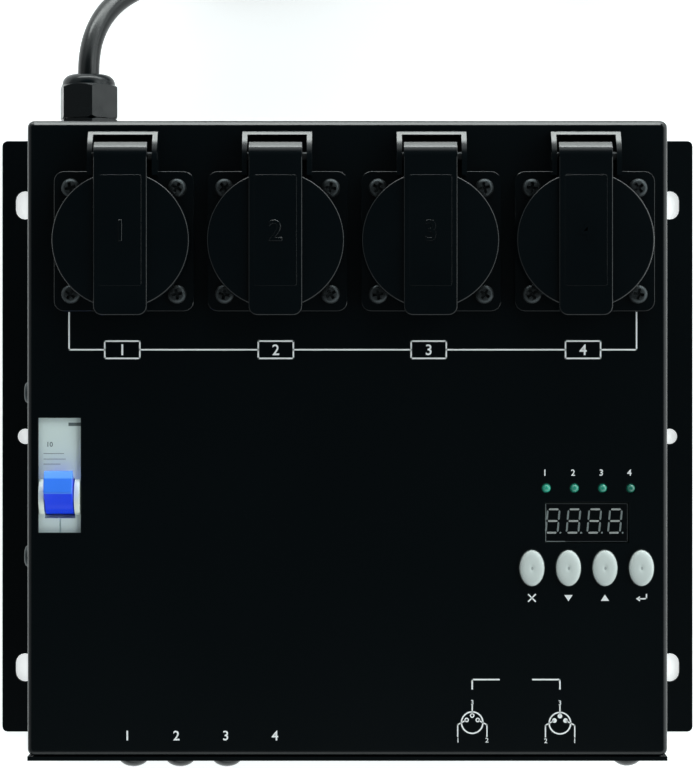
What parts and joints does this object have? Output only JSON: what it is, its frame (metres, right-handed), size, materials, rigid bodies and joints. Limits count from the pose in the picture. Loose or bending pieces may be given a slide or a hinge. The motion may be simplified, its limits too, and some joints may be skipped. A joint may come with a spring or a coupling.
{
  "type": "dimmer pack",
  "caption": "Stage lighting dimmer pack in a flat black steel case with mounting flanges, lidded outlet sockets, a breaker, a display with buttons, fuses, signal sockets and a mains lead.",
  "frame": {"origin": "middle of the back plate's rear face, on which the pack lies", "axes": "+X towards the side with the display, +Y towards the wall with the cable gland, +Z out of the front face"},
  "size_m": [0.2688, 0.4054, 0.099],
  "materials": {
    "powder_coat": "satin black powder coat",
    "black_plastic": "satin",
    "black_rubber": "matte",
    "grey_plastic": "satin",
    "blue_plastic": "satin",
    "button_plastic": "satin",
    "display_face": "gloss",
    "green_lens": "gloss",
    "circuit_board": "satin",
    "sink_aluminium": "satin",
    "zinc_steel": "zinc plated",
    "clip_brass": "satin",
    "choke_winding": "enamelled wire",
    "core_steel": "matte",
    "fuse_glass": "clear"
  },
  "bodies": {
    "enclosure": {"rear_chassis": "powder_coat", "front_cover": "powder_coat", "socket_body_1": "black_plastic", "lid_hinge_pin_1": "zinc_steel", "earth_clip_1": "clip_brass", "socket_body_2": "black_plastic", "lid_hinge_pin_2": "zinc_steel", "earth_clip_2": "clip_brass", "socket_body_3": "black_plastic", "lid_hinge_pin_3": "zinc_steel", "earth_clip_3": "clip_brass", "socket_body_4": "black_plastic", "lid_hinge_pin_4": "zinc_steel", "earth_clip_4": "clip_brass", "breaker_body": "grey_plastic", "breaker_bracket": "zinc_steel", "display": "display_face", "control_board": "circuit_board", "status_light_1": "green_lens", "status_light_2": "green_lens", "status_light_3": "green_lens", "status_light_4": "green_lens", "power_board": "circuit_board", "heat_sink": "sink_aluminium", "mains_transformer": "core_steel", "filter_choke_1": "choke_winding", "filter_choke_2": "choke_winding", "filter_choke_3": "choke_winding", "filter_choke_4": "choke_winding", "fuse_holder_1": "black_plastic", "fuse_holder_2": "black_plastic", "fuse_holder_3": "black_plastic", "fuse_holder_4": "black_plastic", "signal_output_socket": "black_plastic", "signal_input_socket": "black_plastic", "blanking_plug": "black_plastic", "gland_body": "black_plastic", "gland_nut": "black_plastic", "mains_cord": "black_rubber", "mains_cord_coil": "black_rubber", "mains_cord_tail": "black_rubber", "mains_plug": "black_rubber"},
    "lid_1": {"socket_lid_1": "black_plastic"},
    "lid_2": {"socket_lid_2": "black_plastic"},
    "lid_3": {"socket_lid_3": "black_plastic"},
    "lid_4": {"socket_lid_4": "black_plastic"},
    "toggle": {"breaker_lever": "blue_plastic"},
    "push_button_1": {"button_1": "button_plastic"},
    "push_button_2": {"button_2": "button_plastic"},
    "push_button_3": {"button_3": "button_plastic"},
    "push_button_4": {"button_4": "button_plastic"},
    "fuse_1": {"fuse_link_1": "fuse_glass"},
    "cap_1": {"fuse_cap_1": "black_plastic"},
    "fuse_2": {"fuse_link_2": "fuse_glass"},
    "cap_2": {"fuse_cap_2": "black_plastic"},
    "fuse_3": {"fuse_link_3": "fuse_glass"},
    "cap_3": {"fuse_cap_3": "black_plastic"},
    "fuse_4": {"fuse_link_4": "fuse_glass"},
    "cap_4": {"fuse_cap_4": "black_plastic"},
    "latch": {"signal_output_latch": "zinc_steel"}
  },
  "joints": [
    {"name": "lid_hinge_1", "type": "hinge", "parent": "enclosure", "child": "lid_1", "pos_m": [-0.08, 0.1015, 0.094], "axis": [-1, 0, 0], "range_deg": [0, 110], "stiffness_Nm_per_rad": 0.02, "springref_deg": -17.19},
    {"name": "lid_hinge_2", "type": "hinge", "parent": "enclosure", "child": "lid_2", "pos_m": [-0.025, 0.1015, 0.094], "axis": [-1, 0, 0], "range_deg": [0, 110], "stiffness_Nm_per_rad": 0.02, "springref_deg": -17.19},
    {"name": "lid_hinge_3", "type": "hinge", "parent": "enclosure", "child": "lid_3", "pos_m": [0.03, 0.1015, 0.094], "axis": [-1, 0, 0], "range_deg": [0, 110], "stiffness_Nm_per_rad": 0.02, "springref_deg": -17.19},
    {"name": "lid_hinge_4", "type": "hinge", "parent": "enclosure", "child": "lid_4", "pos_m": [0.085, 0.1015, 0.094], "axis": [-1, 0, 0], "range_deg": [0, 110], "stiffness_Nm_per_rad": 0.02, "springref_deg": -17.19},
    {"name": "breaker_toggle", "type": "hinge", "parent": "enclosure", "child": "toggle", "pos_m": [-0.10335, -0.0202, 0.0813], "axis": [1, 0, 0], "range_deg": [0, 65]},
    {"name": "button_press_1", "type": "slide", "parent": "enclosure", "child": "push_button_1", "axis": [0, 0, -1], "range_m": [0, 0.001], "stiffness_N_per_m": 400},
    {"name": "button_press_2", "type": "slide", "parent": "enclosure", "child": "push_button_2", "axis": [0, 0, -1], "range_m": [0, 0.001], "stiffness_N_per_m": 400},
    {"name": "button_press_3", "type": "slide", "parent": "enclosure", "child": "push_button_3", "axis": [0, 0, -1], "range_m": [0, 0.001], "stiffness_N_per_m": 400},
    {"name": "button_press_4", "type": "slide", "parent": "enclosure", "child": "push_button_4", "axis": [0, 0, -1], "range_m": [0, 0.001], "stiffness_N_per_m": 400},
    {"name": "fuse_draw_1", "type": "slide", "parent": "enclosure", "child": "fuse_1", "axis": [0, -1, 0], "range_m": [0, 0.034]},
    {"name": "cap_turn_1", "type": "hinge", "parent": "fuse_1", "child": "cap_1", "pos_m": [-0.0797, -0.117, 0.046], "axis": [0, -1, 0], "range_deg": [0, 90]},
    {"name": "fuse_draw_2", "type": "slide", "parent": "enclosure", "child": "fuse_2", "axis": [0, -1, 0], "range_m": [0, 0.034]},
    {"name": "cap_turn_2", "type": "hinge", "parent": "fuse_2", "child": "cap_2", "pos_m": [-0.0623, -0.117, 0.046], "axis": [0, -1, 0], "range_deg": [0, 90]},
    {"name": "fuse_draw_3", "type": "slide", "parent": "enclosure", "child": "fuse_3", "axis": [0, -1, 0], "range_m": [0, 0.034]},
    {"name": "cap_turn_3", "type": "hinge", "parent": "fuse_3", "child": "cap_3", "pos_m": [-0.0449, -0.117, 0.046], "axis": [0, -1, 0], "range_deg": [0, 90]},
    {"name": "fuse_draw_4", "type": "slide", "parent": "enclosure", "child": "fuse_4", "axis": [0, -1, 0], "range_m": [0, 0.034]},
    {"name": "cap_turn_4", "type": "hinge", "parent": "fuse_4", "child": "cap_4", "pos_m": [-0.0275, -0.117, 0.022], "axis": [0, -1, 0], "range_deg": [0, 90]},
    {"name": "latch_press", "type": "slide", "parent": "enclosure", "child": "latch", "axis": [0, 1, 0], "range_m": [0, 0.0012], "stiffness_N_per_m": 500}
  ]
}
